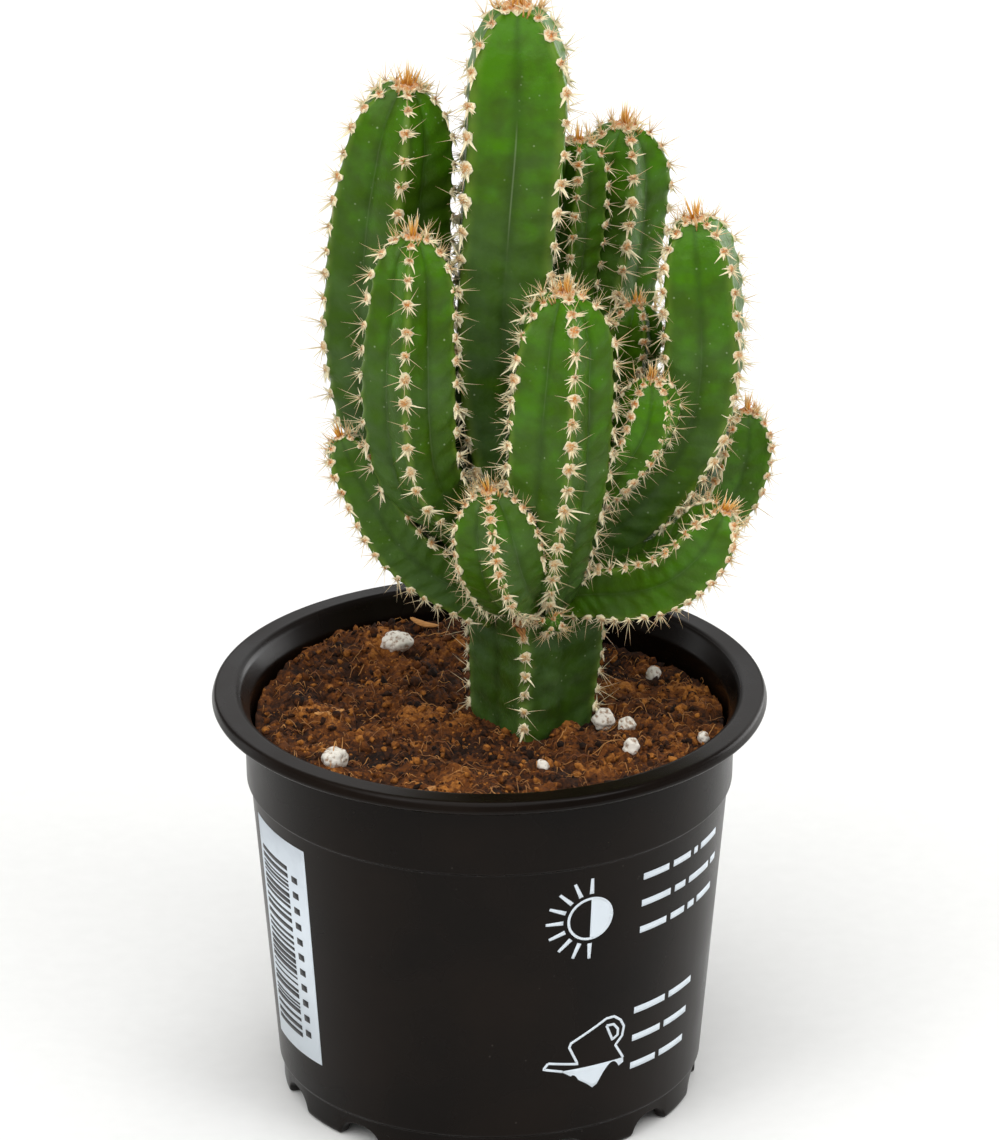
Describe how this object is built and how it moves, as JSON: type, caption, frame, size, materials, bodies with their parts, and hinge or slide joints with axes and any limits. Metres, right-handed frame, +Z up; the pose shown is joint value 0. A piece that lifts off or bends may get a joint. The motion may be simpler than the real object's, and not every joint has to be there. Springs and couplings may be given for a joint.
{
  "type": "potted tall cactus",
  "caption": "Clumping columnar cactus with ribbed upright stems on one trunk, in soil in a round dark nursery pot.",
  "frame": {"origin": "on the pot's axis, in the plane that the pot's feet stand on", "axes": "+Z up the stems; -Y the front of the pot, where its print is; +X to the right of someone facing that front"},
  "size_m": [0.1052, 0.105, 0.2159],
  "materials": {
    "pot_plastic": "satin",
    "potting_soil": "matte",
    "cactus_skin": "satin",
    "spine_horn": "satin",
    "areole_felt": "matte",
    "print_ink": "satin",
    "perlite": "matte",
    "bark": "matte"
  },
  "bodies": {
    "root": {"pot": "pot_plastic", "soil": "potting_soil", "main_stem": "cactus_skin", "stem_left_tall": "cactus_skin", "stem_right_tall": "cactus_skin", "stem_right_back": "cactus_skin", "stem_back": "cactus_skin", "stem_centre_front": "cactus_skin", "stem_left_front": "cactus_skin", "stem_right_low": "cactus_skin", "stem_right_outer": "cactus_skin", "stem_front_short": "cactus_skin", "stem_left_low": "cactus_skin", "stem_right_inner": "cactus_skin", "stem_pup": "cactus_skin", "bud_front": "cactus_skin", "perlite_1": "perlite", "perlite_2": "perlite", "perlite_3": "perlite", "perlite_4": "perlite", "perlite_5": "perlite", "perlite_6": "perlite", "perlite_7": "perlite", "perlite_8": "perlite", "bark_1": "bark", "bark_2": "bark", "bark_3": "bark"}
  },
  "joints": []
}
